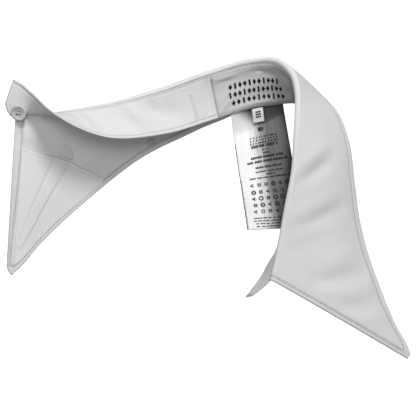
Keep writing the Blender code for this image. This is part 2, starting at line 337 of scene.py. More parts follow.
def to_world(p):
    """Millimetres of SECTIONS to metres of the frame; nothing goes below the surface."""
    q = np.asarray(p, float).copy()
    q[..., 0] += CENTRE_SHIFT[0]
    q[..., 1] += CENTRE_SHIFT[1]
    q[..., 2] = np.maximum(q[..., 2], LOWEST)
    return q * MM


def add_object(name, mesh):
    """An object for a mesh, riding the collar's one body."""
    obj = bpy.data.objects.new(name, mesh)
    bpy.context.scene.collection.objects.link(obj)
    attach(obj, "root")
    return obj


def shell(name, points, half, mat, maps):
    """A closed thin shell: points (n, m, 3) moved both ways along their normals by half (n, m)."""
    n, m = points.shape[:2]
    normal = grid_normals(points)
    top = to_world(points + normal * half[..., None]).reshape(-1, 3)
    low = to_world(points - normal * half[..., None]).reshape(-1, 3)
    k = n * m
    i, j = np.meshgrid(np.arange(n - 1), np.arange(m - 1), indexing="ij")
    a = (i * m + j).ravel()
    faces = [np.stack([a, a + m, a + m + 1, a + 1], 1),
             np.stack([a + k, a + 1 + k, a + m + 1 + k, a + m + k], 1)]
    ring = ([x * m for x in range(n)] + [(n - 1) * m + y for y in range(1, m)]
            + [x * m + m - 1 for x in range(n - 2, -1, -1)] + [y for y in range(m - 2, 0, -1)])
    p, q = np.array(ring), np.array(ring[1:] + ring[:1])
    faces.append(np.stack([q, p, p + k, q + k], 1))
    mesh = bpy.data.meshes.new(name)
    mesh.from_pydata(np.vstack([top, low]).tolist(), [], np.vstack(faces).tolist())
    mesh.polygons.foreach_set("use_smooth", [True] * len(mesh.polygons))
    index = np.zeros(len(mesh.loops), dtype=np.int32)
    mesh.loops.foreach_get("vertex_index", index)
    for key, (u, v) in maps.items():
        layer = mesh.uv_layers.new(name=key)
        flat = np.stack([np.concatenate([u.ravel()] * 2), np.concatenate([v.ravel()] * 2)], 1)
        layer.data.foreach_set("uv", flat[index].ravel())
    mesh.materials.append(mat)
    mesh.update()
    return add_object(name, mesh)


RIM = 0.08  # share of the half thickness left at a border


def rounded(distance, full, reach=0.9):
    """Half thickness that rounds off towards a border."""
    t = np.clip(distance / reach, 0.0, 1.0)
    return full * np.sqrt(np.clip(1.0 - (1.0 - t) ** 2, 0.0, 1.0)) * (1.0 - RIM) + full * RIM


def creases(table, s, d):
    """Sum of soft ridges (+) and troughs (-): each runs from one cloth place to another."""
    out = np.zeros_like(s)
    for _, s0, d0, s1, d1, wide, high in table:
        dx, dy = s1 - s0, d1 - d0
        t = np.clip(((s - s0) * dx + (d - d0) * dy) / (dx * dx + dy * dy), 0.0, 1.0)
        far = np.hypot(s - s0 - t * dx, d - d0 - t * dy)
        out += high * np.exp(-(far / wide) ** 2) * (0.35 + 0.65 * np.sin(math.pi * np.clip(t, 0.04, 0.96)))
    return out


# ---------------------------------------------------------------- leaf
WALL_HALF = 0.66  # half the thickness of leaf and band, in mm
cotton = cloth_material("poplin", (0.855, 0.855, 0.857))
cotton_band = cloth_material("poplin_band", (0.84, 0.84, 0.843))
# painted light: the pocket's cotton is a brighter copy of the same poplin, to light the lower left leaf
pocket_cotton_painted_bright = cloth_material("poplin_pocket_painted_bright", (0.92, 0.92, 0.922))

# Leaf creases: s along the fold, d down from the fold in mm
LEAF_CREASES = [
    # name,              s0,    d0,   s1,    d1,  wide, high
    ("left front gutter", -196, 3.0, -196, 20.0, 2.2, -1.4),
    ("left front fold", -192, 4.0, -168, 8.0, 3.2, -1.8),
    ("left diagonal", -192, 12.0, -172, 27.0, 3.5, 1.1),
    ("left long swell", -188, 40.0, -176, 84.0, 9.0, 0.9),
    ("left mid swell", -150, 30.0, -110, 20.0, 12.0, -1.4),
    ("left back swell", -105, 12.0, -70, 26.0, 9.0, 0.8),
    ("right shoulder trough", 133, 8.0, 110, 38.0, 6.5, -2.2),
    ("right shoulder ridge", 122, 6.0, 100, 32.0, 7.0, 1.0),
    ("right middle trough", 170, 10.0, 147, 50.0, 6.0, -1.6),
    ("right middle ridge", 158, 12.0, 135, 48.0, 7.0, 1.2),
    ("right lower trough", 188, 8.0, 168, 44.0, 6.0, -0.9),
    ("right upper swell", 187, 40.0, 177, 64.0, 5.0, 1.2),
    ("right point trough", 197, 34.0, 185, 76.0, 3.8, -2.9),
    ("right point ridge", 200, 42.0, 189, 80.0, 4.5, 2.0),
    ("right tip trough", 203, 62.0, 191, 98.0, 3.6, -1.6),
    ("right tip ridge", 205, 74.0, 195, 100.0, 4.0, 1.0),
]
STITCH_IN = 6.3        # topstitching from the outer edge
FRONT_IN = (6.2, 3.3)  # and from the left and the right front edge
HEM = 11.0             # strip along the edges with closer rows, for the pressed seam
PUCKER = 0.17          # how high a seam puckers between its stitches
PAINTED_SHADE_FROM, PAINTED_SHADE_TO = 60.0, 150.0  # painted shade: the right arm's leaf is painted slightly darker between these s
leaf_s = np.array(spaced(LEAF_ENDS[0], LEAF_ENDS[0] + HEM, 14)
                  + spaced(LEAF_ENDS[0] + HEM, LEAF_ENDS[1] - HEM, 220)[1:]
                  + spaced(LEAF_ENDS[1] - HEM, LEAF_ENDS[1], 14)[1:])
ROLL_V = [-2.0, -1.5, -1.0, -0.84, -0.68, -0.52, -0.36, -0.2]


def leaf_columns(s):
    """Places v of the leaf's columns at s: even over the fall, closer over its hem."""
    hem = 1.0 - HEM / float(np.linalg.norm(leaf_point(s, 1.0) - leaf_point(s, 0.0)))
    return ROLL_V + spaced(0.0, hem, 54) + spaced(hem, 1.0, 15)[1:]


leaf_V = np.array([leaf_columns(float(s)) for s in leaf_s])
leaf_p = np.array([[leaf_point(float(s), float(v)) for v in row] for s, row in zip(leaf_s, leaf_V)])
along, across = lengths(leaf_p)
FOLD_COLUMN = 4  # column on the roll that lengths down the leaf start from
down = across - across[:, FOLD_COLUMN:FOLD_COLUMN + 1]
outer = across[:, -1:] - across
front = np.minimum(along, along[-1:] - along)
S = np.repeat(leaf_s[:, None], leaf_V.shape[1], 1)
n_leaf = grid_normals(leaf_p)
bulge = creases(LEAF_CREASES, S, down) * smooth(down, 0.0, 6.0) * smooth(outer, 0.0, 7.0)
pucker = PUCKER * np.sin(along * 0.95 + 1.3 * np.sin(along * 0.21)) * np.exp(-((outer - STITCH_IN) / 3.2) ** 2)
pucker += PUCKER * np.sin(down * 0.85 + 1.2 * np.sin(down * 0.17)) * np.exp(-((front - FRONT_IN[0]) / 3.0) ** 2)
bulge += pucker * smooth(down, 4.0, 10.0)
# the left arm shows its underside and the right arm its upper side, so a crease rises the other way there
leaf_p = leaf_p - n_leaf * bulge[..., None] * np.where(S < 0, 1.0, -1.0)[..., None]

# pressed seam: a raised border, a groove at the stitching where the thread pulls in; painted shade darkens the
# colour along the groove
far_out = outer - STITCH_IN
far_front = front - np.where(S < 0, FRONT_IN[0], FRONT_IN[1])
line = np.minimum(np.abs(far_out), np.abs(far_front))
line = np.where((far_out < -0.6) | (far_front < -0.6), 99.0, line)
border = 1.0 - smooth(np.minimum(far_out, far_front), -1.4, 0.2)
groove = np.exp(-(line / 0.8) ** 2)
height = border * 0.3 - groove * 0.5
# painted shade: along the stitching groove, and over the right arm's leaf
dark = np.minimum(groove * 0.5 + 0.26 * smooth(S, PAINTED_SHADE_FROM, PAINTED_SHADE_TO), 1.0)
edge_far = np.minimum(outer, front)
half = rounded(edge_far, WALL_HALF) + 0.12 * border * smooth(edge_far, 0.0, 1.0)
half = half - 0.26 * groove
fold_along = np.repeat(along[:, FOLD_COLUMN:FOLD_COLUMN + 1], leaf_V.shape[1], 1)
leaf = shell("leaf_cotton", leaf_p, half, cotton, {
    "cloth": (fold_along * MM, down * MM), "edge": (height, dark)})
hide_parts("leaf")

# ---------------------------------------------------------------- band
BAND_CREASES = [
    # name,          s0,  d0,   s1,   d1,  wide, high
    ("left slant", -148, 8.0, -136, 26.0, 3.5, 0.9),
    ("mid slant", -92, 6.0, -84, 20.0, 3.0, -0.8),
    ("band ridge", -110, 4.0, -95, 26.0, 3.5, 1.2),
    ("band trough", -118, 8.0, -104, 28.0, 4.0, -0.9),
    ("left ripple", -165, 6.0, -150, 20.0, 4.0, 0.8),
    ("left far ripple", -182, 4.0, -172, 24.0, 5.0, -0.6),
    ("middle swell", -82, 12.0, -66, 26.0, 6.0, -0.6),
    ("near label", -42, 2.0, -40, 30.0, 2.2, -0.8),
    ("right ripple", 60, 4.0, 80, 28.0, 6.0, 0.6),
    ("right pull", 120, 3.0, 135, 26.0, 7.0, -0.8),
    ("front bend", 190, 3.0, 200, 28.0, 5.0, 0.7),
]
BAND_CREASE = 2.2                  # times the heights in the table
BAND_FRONT = 25.0                  # mm of band at each front whose columns follow the rounded end
BAND_FRONT_SHARE = 0.85            # of the columns lie before it
TOP_STITCH, LOW_STITCH = 1.6, 3.0  # stitching from the band's top and from its other edges
band_u = np.array(spaced(-1.0, 1.0, 230))
band_v = np.array(spaced(0.0, 0.1, 6) + spaced(0.1, 0.84, 18)[1:] + spaced(0.84, 1.0, 11)[1:])


def band_s(u, v):
    """Way along the fold for the band's column u (-1 to 1) at height v."""
    end = abs(LEAF_ENDS[0] if u < 0 else LEAF_ENDS[1])
    core = end - BAND_FRONT
    a = abs(u)
    if a < BAND_FRONT_SHARE:
        s = a / BAND_FRONT_SHARE * core
    else:
        s = core + (a - BAND_FRONT_SHARE) / (1.0 - BAND_FRONT_SHARE) * (end + band_reach(v) - core)
    return math.copysign(s, u)


band_S = np.array([[band_s(float(u), float(v)) for v in band_v] for u in band_u])
band_p = np.array([[band_point(float(band_S[i, j]), float(band_v[j])) for j in range(len(band_v))]
                   for i in range(len(band_u))])
b_along, b_down = lengths(band_p)
b_low = b_down[:, -1:] - b_down
b_end = np.minimum(b_along, b_along[-1:] - b_along)
n_band = grid_normals(band_p)
bulge = creases(BAND_CREASES, band_S, b_down) * smooth(b_down, 0.0, 5.0) * smooth(b_low, 0.0, 5.0)
band_p = band_p - n_band * (BAND_CREASE * bulge)[..., None]
b_line = np.minimum(np.abs(b_down - TOP_STITCH), np.abs(b_low - LOW_STITCH))
b_line = np.minimum(b_line, np.abs(b_end - LOW_STITCH))
b_open = np.minimum(b_low, b_end)
b_border = 1.0 - smooth(b_open, 1.8, 3.4)
b_groove = np.exp(-(b_line / 0.7) ** 2)
half = rounded(np.minimum(np.minimum(b_down, b_low), b_end), WALL_HALF)
half = half + 0.1 * b_border * smooth(b_open, 0.0, 1.0) - 0.2 * b_groove
# the 'edge' map's second value paints shade along the stitching grooves
band = shell("band_cotton", band_p, half, cotton_band, {
    "cloth": (b_along * MM, b_down * MM), "edge": (b_border * 0.35 - b_groove * 0.3, b_groove * 0.22)})
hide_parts("band")

# ---------------------------------------------------------------- stitches
def stitch_mesh(name, items, mat):
    """Small lozenges of thread: items are (place, direction, normal, length, width, height)."""
    verts, faces = [], []
    for p, t, n, long, wide, high in items:
        side = unit(np.cross(n, t))
        k = len(verts)
        verts += [p - t * long / 2, p + t * long / 2, p + side * wide / 2, p - side * wide / 2,
                  p + n * high, p - n * 0.1]
        faces += [(k, k + 3, k + 4), (k + 3, k + 1, k + 4), (k + 1, k + 2, k + 4), (k + 2, k, k + 4),
                  (k + 3, k, k + 5), (k + 1, k + 3, k + 5), (k + 2, k + 1, k + 5), (k, k + 2, k + 5)]
    mesh = bpy.data.meshes.new(name)
    mesh.from_pydata(to_world(np.array(verts)).tolist(), [], faces)
    mesh.polygons.foreach_set("use_smooth", [True] * len(mesh.polygons))
    mesh.materials.append(mat)
    add_object(name, mesh)


def iso_line(points, normals, field, value):
    """Where a field that falls along the rows reaches a value, for each row."""
    out = []
    for i in range(points.shape[0]):
        j = int(np.argmax(field[i] <= value))
        if j == 0:
            continue
        t = (field[i, j - 1] - value) / max(field[i, j - 1] - field[i, j], 1e-6)
        out.append((points[i, j - 1] * (1 - t) + points[i, j] * t,
                    unit(normals[i, j - 1] * (1 - t) + normals[i, j] * t)))
    return np.array([o[0] for o in out]), np.array([o[1] for o in out])


def along_line(points, normals, lift, pitch=2.3, long=1.8, wide=0.5, high=0.26):
    """Stitches in a row along a line, lifted off it; a negative lift puts them on the cloth's other side."""
    way = np.concatenate([[0.0], np.cumsum(np.linalg.norm(np.diff(points, axis=0), axis=1))])

    def at(table, d):
        return np.array([np.interp(d, way, table[:, a]) for a in range(3)])

    stitches = []
    for k in range(int(way[-1] / pitch)):
        d = (k + 0.5) * pitch
        n = unit(at(normals, d)) * math.copysign(1.0, lift)
        direction = unit(at(points, d + 0.3) - at(points, d - 0.3))
        stitches.append((at(points, d) + n * abs(lift), direction, n, long, wide, high))
    return stitches


def plain_material(name, colour, rough, bump_scale=4000.0, bump=0.2, specular=0.4, sheen=0.0):
    """An even colour with a fine grain and soft clouds."""
    m, nodes, links = new_material(name)
    shader = nodes["Principled BSDF"]
    where = nodes.new("ShaderNodeTexCoord").outputs["Object"]
    grain = noise_node(nodes, links, where, bump_scale)
    links.new(bump_node(nodes, links, grain, bump, GRAIN_DEPTH), shader.inputs["Normal"])
    cloud = noise_node(nodes, links, where, 120.0)
    tint = mix_colour(nodes, links, cloud, tuple(c * 0.9 for c in colour), colour)
    links.new(tint, shader.inputs["Base Color"])
    shader.inputs["Roughness"].default_value = rough
    shader.inputs["Specular IOR Level"].default_value = specular
    shader.inputs["Sheen Weight"].default_value = sheen
    return m


thread = plain_material("thread", (0.84, 0.84, 0.843), 0.6, sheen=0.3)
# the creased cloth's own normals
n_leaf = grid_normals(leaf_p)
n_band = grid_normals(band_p)
seam_p, seam_n = iso_line(leaf_p, n_leaf, outer, STITCH_IN)
items = []
for side in (1.0, -1.0):
    items += along_line(seam_p[6:-6], seam_n[6:-6], side * WALL_HALF)
for rows, inset in ((slice(None), FRONT_IN[0]), (slice(None, None, -1), FRONT_IN[1])):
    lp, ln = leaf_p[rows][:24, 9:-12], n_leaf[rows][:24, 9:-12]
    way = (along if rows.step is None else along[-1:] - along[::-1])[:24, 9:-12]
    p, n = iso_line(lp.transpose(1, 0, 2), ln.transpose(1, 0, 2), -way.T, -inset)
    for side in (1.0, -1.0):
        items += along_line(p, n, side * WALL_HALF)
stitch_mesh("leaf_topstitch", items, thread)
items = []
for field, value in ((-b_down, -TOP_STITCH), (b_low, LOW_STITCH)):
    p, n = iso_line(band_p, n_band, field, value)
    for side in (1.0, -1.0):
        items += along_line(p[4:-4], n[4:-4], side * WALL_HALF, pitch=2.6, long=1.9, wide=0.42, high=0.2)
stitch_mesh("band_stitch", items, thread)


# ---------------------------------------------------------------- stay pocket and collar stay
# places (s, v) on the leaf: the pocket's top edge, and the stitched lines on both sides of the stay
POCKET_TOP = [(-199.0, 0.145), (-163.0, 0.347), (-149.0, 0.45), (-128.0, 0.66), (-111.0, 0.90)]
CHANNEL_LEFT = [(-166.4, 0.358), (-177.5, 0.56), (-192.5, 0.79)]
CHANNEL_RIGHT = [(-150.1, 0.445), (-157.2, 0.565), (-168.9, 0.70), (-176.5, 0.775), (-190.0, 0.87)]


def pocket_top(s):
    """Height v of the pocket's top edge at s."""
    return float(np.interp(s, [r[0] for r in POCKET_TOP], [r[1] for r in POCKET_TOP]))


def bilinear(grid, i, j, a, b):
    """Value between the grid's four points around (i + a, j + b)."""
    return ((grid[i, j] * (1 - a) + grid[i + 1, j] * a) * (1 - b)
            + (grid[i, j + 1] * (1 - a) + grid[i + 1, j + 1] * a) * b)


def on_leaf(s, v, lift):
    """A point lifted off the leaf's underside, creases included, and the outward normal there."""
    i = np.interp(s, leaf_s, np.arange(len(leaf_s)))
    i0 = min(int(i), len(leaf_s) - 2)
    j = np.interp(v, leaf_V[i0] * (i0 + 1 - i) + leaf_V[i0 + 1] * (i - i0), np.arange(leaf_V.shape[1]))
    j0 = min(int(j), leaf_V.shape[1] - 2)
    a, b = i - i0, j - j0
    n = -unit(bilinear(n_leaf, i0, j0, a, b))
    return bilinear(leaf_p, i0, j0, a, b) + n * lift, n


def panel_line(table, lift, steps=24):
    """Points and normals along a line that a table gives as places (s, v) on the leaf."""
    k = np.arange(len(table))
    found = []
    for t in spaced(0.0, len(table) - 1.0, steps):
        s, v = (float(np.interp(t, k, [row[axis] for row in table])) for axis in (0, 1))
        found.append(on_leaf(s, v, lift))
    return np.array([p for p, _ in found]), np.array([n for _, n in found])


def far_from(points, line):
    """Distance from each grid point to a polyline."""
    best = np.full(points.shape[:2], 1e9)
    for a, b in zip(line[:-1], line[1:]):
        ab = b - a
        t = np.clip(((points - a) @ ab) / (ab @ ab), 0.0, 1.0)
        best = np.minimum(best, np.linalg.norm(points - a - t[..., None] * ab, axis=2))
    return best


POCKET_HALF = 0.20
POCKET_LIFT = WALL_HALF + POCKET_HALF
POCKET_S = (-194.6, -112.0)
POCKET_IN = 5.0       # from the leaf's outer edge
POCKET_HEM = 3.4      # stitching below the pocket's turned top edge
STAY_SWELL = 0.28     # how far the stay lifts the pocket
left_line, left_n = panel_line(CHANNEL_LEFT, POCKET_LIFT)
right_line, right_n = panel_line(CHANNEL_RIGHT, POCKET_LIFT)
rows = []
for s in spaced(*POCKET_S, 90):
    high = 1.0 - POCKET_IN / float(np.interp(s, leaf_s, down[:, -1]))
    low = pocket_top(s)
    rows.append([on_leaf(s, v, POCKET_LIFT)[0] for v in spaced(low, max(high, low + 0.02), 60)])
pocket_p = np.array(rows)
p_along, p_down = lengths(pocket_p)
to_left, to_right = far_from(pocket_p, left_line), far_from(pocket_p, right_line)
middle = (left_line + right_line) / 2
to_middle = far_from(pocket_p, middle)
channel_half = np.maximum(far_from(middle[None], right_line)[0].mean(), 1.0)
inside = np.clip(1.0 - to_middle / channel_half, 0.0, 1.0)
pocket_p = pocket_p - grid_normals(pocket_p) * (STAY_SWELL * smooth(inside, 0.0, 0.4))[..., None]
line = np.minimum(to_left, to_right)
hem = np.abs(p_down - POCKET_HEM)
# painted shade: the stitched lines, the hem and the pocket's top edge each sink the bump and are painted darker
pocket_groove_shade = 0.55 * np.exp(-(line / 0.7) ** 2) + 0.4 * np.exp(-(hem / 0.6) ** 2)
pocket_groove_shade += 1.1 * np.exp(-(p_down / 0.5) ** 2)
edge_far = np.minimum(p_down, p_down[:, -1:] - p_down)
pocket = shell("stay_pocket_cotton", pocket_p, rounded(edge_far, POCKET_HALF, 0.5), pocket_cotton_painted_bright, {
    "cloth": (p_along * MM, p_down * MM), "edge": (-0.5 * pocket_groove_shade, 0.5 * np.clip(pocket_groove_shade, 0, 1))})
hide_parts("stay_pocket")
items = []
for line_p, line_n in ((left_line, left_n), (right_line, right_n)):
    items += along_line(line_p, line_n, 0.22, pitch=2.2, wide=0.35, high=0.15)
stitch_mesh("pocket_stitch", items, thread)

stay_white = plain_material("stay_plastic", (0.74, 0.74, 0.745), 0.45, bump_scale=1500.0, bump=0.05)
STAY_STEPS = 32
STAY_LIFT = WALL_HALF + 0.62
STAY_HALF = 0.42
STAY_S = (-163.0, 14.5)   # where its foot starts along the leaf, and how far it runs
STAY_V = (0.352, 0.098)   # the same down the leaf, along the pocket's top edge
STAY_RISE = 0.105         # height of its round end, as a share of the leaf's fall
rows = []
for k in range(STAY_STEPS + 1):
    t = k / STAY_STEPS
    s = STAY_S[0] + STAY_S[1] * t
    foot = STAY_V[0] + STAY_V[1] * t
    rise = STAY_RISE * math.sqrt(max(0.0, 1.0 - (2 * t - 1) ** 2))
    rows.append([on_leaf(s, foot - 0.015 - (rise + 0.002) * r, STAY_LIFT)[0] for r in spaced(0.0, 1.0, 14)])
stay_p = np.array(rows)
st_along, st_down = lengths(stay_p)
edge_far = border_distance(st_along, st_down)
stay = shell("stay_end", stay_p, rounded(edge_far + 0.05, STAY_HALF, 0.8), stay_white, {
    "cloth": (st_along * MM, st_down * MM)})
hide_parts("collar_stay")

# ---------------------------------------------------------------- woven label
LABEL_CREASES = [
    # name,          along0, down0, along1, down1, wide, high
    ("upper left pull", 2.0, 3.0, 22.0, 5.5, 1.6, 0.8),
    ("upper left dip", 4.0, 7.0, 26.0, 6.5, 1.5, -0.6),
    ("lower left pull", 3.0, 30.0, 12.0, 24.0, 1.8, 0.7),
    ("upper middle", 30.0, 4.0, 56.0, 9.0, 2.4, -0.6),
    ("right slant", 52.0, 3.0, 66.0, 16.0, 2.4, 0.6),
    ("lower edge", 20.0, 32.0, 50.0, 31.0, 1.8, 0.5),
]
LABEL_S = (-34.0, 38.0)  # along the band
LABEL_V = (0.045, 0.97)  # and down it
LABEL_SLANT = 4.5        # how much further left the label's left edge starts at its top
LABEL_LIFT = WALL_HALF + 0.55


def on_band(s, v, lift):
    """A point lifted off the band's inner face, and the normal there."""
    way = band_point(s + 0.5, v) - band_point(s - 0.5, v)
    fall = band_point(s, v + 0.01) - band_point(s, v - 0.01)
    n = -unit(np.cross(way, fall))
    return band_point(s, v) + n * lift, n


tape = cloth_material("label_tape", (0.72, 0.72, 0.723), pitch=0.6, rough=0.55)
tag_white = cloth_material("tag_tape", (0.86, 0.86, 0.863), pitch=0.6, rough=0.6)
rows = []
for s in spaced(*LABEL_S, 80):
    slant = LABEL_SLANT * (LABEL_S[1] - s) / (LABEL_S[1] - LABEL_S[0])
    rows.append([on_band(s - slant * (LABEL_V[1] - v), v, LABEL_LIFT)[0] for v in spaced(*LABEL_V, 24)])
label_p = np.array(rows)
l_along, l_down = lengths(label_p)
edge_far = border_distance(l_along, l_down)
crinkle = 0.35 * np.sin(l_along * 0.42 + 0.8) * np.exp(-l_down / 6.0)
crinkle += 0.3 * np.sin(l_down * 0.35 + l_along * 0.05)
crinkle += creases(LABEL_CREASES, l_along, l_down)
label_p = label_p - grid_normals(label_p) * (crinkle * smooth(edge_far, 0.0, 2.5))[..., None]
# the turned edges sink the bump and are painted darker along them, as painted shade
fold_line = np.exp(-((edge_far - 1.2) / 0.5) ** 2) + 1.3 * np.exp(-((l_along + 0.1) / 0.6) ** 2)
# painted shade: the tape is painted darker towards its right end, where it turns into the shade of the roll,
# and towards its top, under the band's edge
label_painted_shade = smooth(l_along, 18.0, 64.0) * 0.55 + smooth(-l_down, -12.0, -2.0) * 0.25
woven = shell("woven_label_tape", label_p, rounded(edge_far, 0.24, 0.5), tape, {
    "cloth": (l_along * MM, l_down * MM), "edge": (-0.4 * fold_line, np.minimum(0.4 * fold_line + label_painted_shade, 1.0))})
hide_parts("woven_label")

ink = plain_material("woven_black", (0.015, 0.015, 0.016), 0.75, specular=0.15)


def box(x0, y0, x1, y1):
    """The corners of an upright rectangle."""
    return [(x0, y0), (x1, y0), (x1, y1), (x0, y1)]


def flat_marks(name, polygons, surface, mat):
    """Printed or woven shapes just above a surface: each is a closed outline in label millimetres."""
    verts, faces = [], []
    for shape in polygons:
        k = len(verts)
        verts += [surface(x, y) for x, y in shape]
        faces.append(tuple(range(k, k + len(shape))))
    mesh = bpy.data.meshes.new(name)
    mesh.from_pydata(to_world(np.array(verts)).tolist(), [], faces)
    mesh.materials.append(mat)
    add_object(name, mesh)


def grid_surface(points, lift):
    """Bilinear lookup of a panel by its fractions, lifted along its normal."""
    normals = grid_normals(points)

    def at(a, b):
        i, j = a * (points.shape[0] - 1), b * (points.shape[1] - 1)
        i0, j0 = min(int(i), points.shape[0] - 2), min(int(j), points.shape[1] - 2)
        u, w = i - i0, j - j0
        return bilinear(points, i0, j0, u, w) + unit(bilinear(normals, i0, j0, u, w)) * lift

    return at


label_wide, label_high = float(l_along[-1].mean()), float(l_down[:, -1].mean())
label_face = grid_surface(label_p, -0.46)


def label_at(x, y):
    """Millimetres from the woven label's left and top edge to a place just above it."""
    return label_face(x / label_wide, y / label_high)


# three rows of blank lozenges and bars
MARK_ROWS = [
    # mm down, from, to (mm along), how many
    (13.4, 13.5, 52.0, 11),
    (20.2, 12.4, 54.5, 12),
    (27.0, 14.0, 56.0, 11),
]
MARK_HIGH = 2.4                      # half a mark's height
BAR_WIDE, LOZENGE_WIDE = 0.75, 1.55  # half their widths
shapes = []
for r, (y, x0, x1, count) in enumerate(MARK_ROWS):
    for c in range(count):
        x = x0 + (x1 - x0) * c / (count - 1)
        if (c + r) % 3 == 1:
            shapes.append(box(x - BAR_WIDE, y - MARK_HIGH, x + BAR_WIDE, y + MARK_HIGH))
        else:
            shapes.append([(x - LOZENGE_WIDE, y), (x, y - MARK_HIGH),
                           (x + LOZENGE_WIDE, y), (x, y + MARK_HIGH)])
flat_marks("woven_lozenges", shapes, label_at, ink)
items = []
tack_face, tack_back = grid_surface(label_p, -0.3), grid_surface(label_p, 0.3)
for a, b in ((0.02, 0.05), (0.02, 0.95), (0.98, 0.05), (0.98, 0.95)):
    p = tack_face(a, b)
    q = tack_face(min(a + 0.02, 1.0), b)
    n = unit(p - tack_back(a, b))
    items += [(p + (q - p) * k, unit(np.cross(n, unit(q - p))), n, 1.6, 0.45, 0.3)
              for k in (-0.6, -0.2, 0.2, 0.6)]
stitch_mesh("label_tacks", items, thread)

# ---------------------------------------------------------------- satin label and size tag
SATIN_WIDE = 44.0
SATIN_LENGTH = 100.0
SATIN_LEFT = -16.4       # x of its left edge
SATIN_END = -131.2       # y of its lower left corner
SATIN_LIES_AT = 0.5      # height of the part that lies on the surface
SATIN_LEAN = 0.1265      # shift in x for each mm down
SATIN_WAVE = 0.9         # height of the ripple along its left half
UNDER_BAND = 1.55        # outwards from the middle of the band's cloth


def hanging(across, down, lift=0.0):
    """Point of the satin label: across 0..1 over its width, down in mm from the band's free edge."""
    x = SATIN_LEFT + SATIN_WIDE * across
    s = float(np.interp(x, (-31.0, 5.2, 18.0, 28.5), (-38.0, 0.0, 14.0, 25.0)))
    edge, above = band_point(s, 1.0), band_point(s, 0.95)
    outward = unit(np.cross(band_point(s + 0.5, 1.0) - band_point(s - 0.5, 1.0), edge - above))
    top = edge + outward * UNDER_BAND
    if down < 0.0:
        return top + unit(edge - above) * down + np.array([0.0, 0.0, lift])
    y = top[1] + (SATIN_END + 2.2 * across - top[1]) * down / SATIN_LENGTH
    height = max(float(top[2]) - SATIN_LIES_AT, 0.0)
    u = min(down / (7.0 + 1.3 * height), 1.0)
    z = SATIN_LIES_AT + height * (1.0 - u) ** 2 * (1.0 + u)
    ripple = (0.5 - 0.5 * math.cos(down * 0.13 + 0.4)) * min(down / 12.0, 1.0)
    z += SATIN_WAVE * (1.0 - min(across / 0.62, 1.0)) * ripple
    return np.array([x + SATIN_LEAN * (top[1] - y), y, z + lift])


satin, nodes, links = new_material("satin")
shader = nodes["Principled BSDF"]
cloth = map_node(nodes, "cloth")
streak = noise_node(nodes, links, stretched(nodes, links, cloth, (6.0, 0.35, 1.0)), 60.0, 4.0)
links.new(bump_node(nodes, links, streak, 0.25, 0.0003), shader.inputs["Normal"])
split = split_node(nodes, links, cloth)
# painted shade: the satin is painted near black towards its right edge, where the right arm's wall shades it,
# and sooner near its top, under the band's edge
near_top = math_node(nodes, links, "MAXIMUM", math_node(nodes, links, "SUBTRACT", 0.015, split["Y"]), 0.0)
reach = math_node(nodes, links, "ADD", split["X"], near_top)
satin_shade_ramp = nodes.new("ShaderNodeMapRange")
satin_shade_ramp.interpolation_type = "SMOOTHSTEP"
satin_shade_ramp.inputs["From Min"].default_value = 0.017
satin_shade_ramp.inputs["From Max"].default_value = 0.035
links.new(math_node(nodes, links, "MULTIPLY_ADD", streak, 0.012, reach), satin_shade_ramp.inputs["Value"])
pale = mix_colour(nodes, links, streak, (0.80, 0.80, 0.803), (0.96, 0.96, 0.963))
# painted shade: the near-black colour that the ramp blends into the satin's own pale colour
satin_shade_colour = mix_colour(nodes, links, streak, (0.02, 0.02, 0.021), (0.085, 0.085, 0.087))
links.new(mix_colour(nodes, links, satin_shade_ramp.outputs["Result"], pale, satin_shade_colour), shader.inputs["Base Color"])
shader.inputs["Roughness"].default_value = 0.42
shader.inputs["Anisotropic"].default_value = 0.5
shader.inputs["Specular IOR Level"].default_value = 0.3

downs = spaced(-2.0, 0.0, 2)[:-1] + spaced(0.0, 24.0, 24) + spaced(24.0, 100.4, 60)[1:]
satin_p = np.array([[hanging(a, d, 0.2) for d in downs] for a in spaced(-0.004, 1.0, 40)])
s_along, s_down = lengths(satin_p)
edge_far = border_distance(s_along, s_down)
satin_piece = shell("satin_label_tape", satin_p, rounded(edge_far, 0.18, 0.4), satin, {
    "cloth": (s_along * MM, s_down * MM)})
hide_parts("satin_label")

print_ink = plain_material("print_ink", (0.012, 0.012, 0.013), 0.6, specular=0.1)


def satin_at(x, y):
    """Label millimetres to a place just above the satin: x across from its left edge, y down."""
    return hanging(x / SATIN_WIDE, y, 0.44)


def hashed(k):
    """A scattered value from 0 to 1 that is the same in every run."""
    return (math.sin(k * 12.9898 + 4.1) * 43758.5453) % 1.0


# rows of blank print: name, mm down, letter height, from, to (mm across), word length
PRINT_ROWS = [
    ("size bar", 17.0, 2.8, 20.0, 25.0, 6.0),
    ("fine 1", 23.5, 1.1, 12.5, 34.5, 1.6),
    ("fine 2", 25.9, 1.1, 12.3, 34.8, 1.9),
    ("fine 3", 28.3, 1.1, 12.0, 35.0, 1.9),
    ("line 4", 31.0, 1.9, 12.5, 34.5, 8.0),
    ("line 5", 34.4, 0.8, 20.5, 27.0, 3.0),
    ("line 6", 37.2, 1.1, 21.5, 26.0, 3.0),
    ("bold 7", 40.4, 1.5, 11.0, 37.0, 10.0),
    ("bold 8", 44.0, 1.5, 7.5, 41.0, 8.0),
    ("line 9", 49.0, 1.3, 13.5, 34.5, 7.0),
    ("line 10", 52.6, 0.9, 13.0, 36.5, 9.0),
    ("line 11", 55.2, 0.9, 21.0, 29.0, 8.0),
    ("line 12", 57.8, 1.0, 7.5, 42.0, 5.0),
    ("end 1", 91.0, 0.8, 6.0, 42.0, 3.4),
    ("end 2", 93.3, 0.8, 6.0, 42.0, 3.0),
    ("end 3", 95.6, 0.8, 7.5, 42.0, 3.8),
    ("end 4", 97.9, 0.8, 7.5, 42.0, 3.1),
]
PRINT_BOLD = 0.65  # half a dash's height, as a share of the letter height
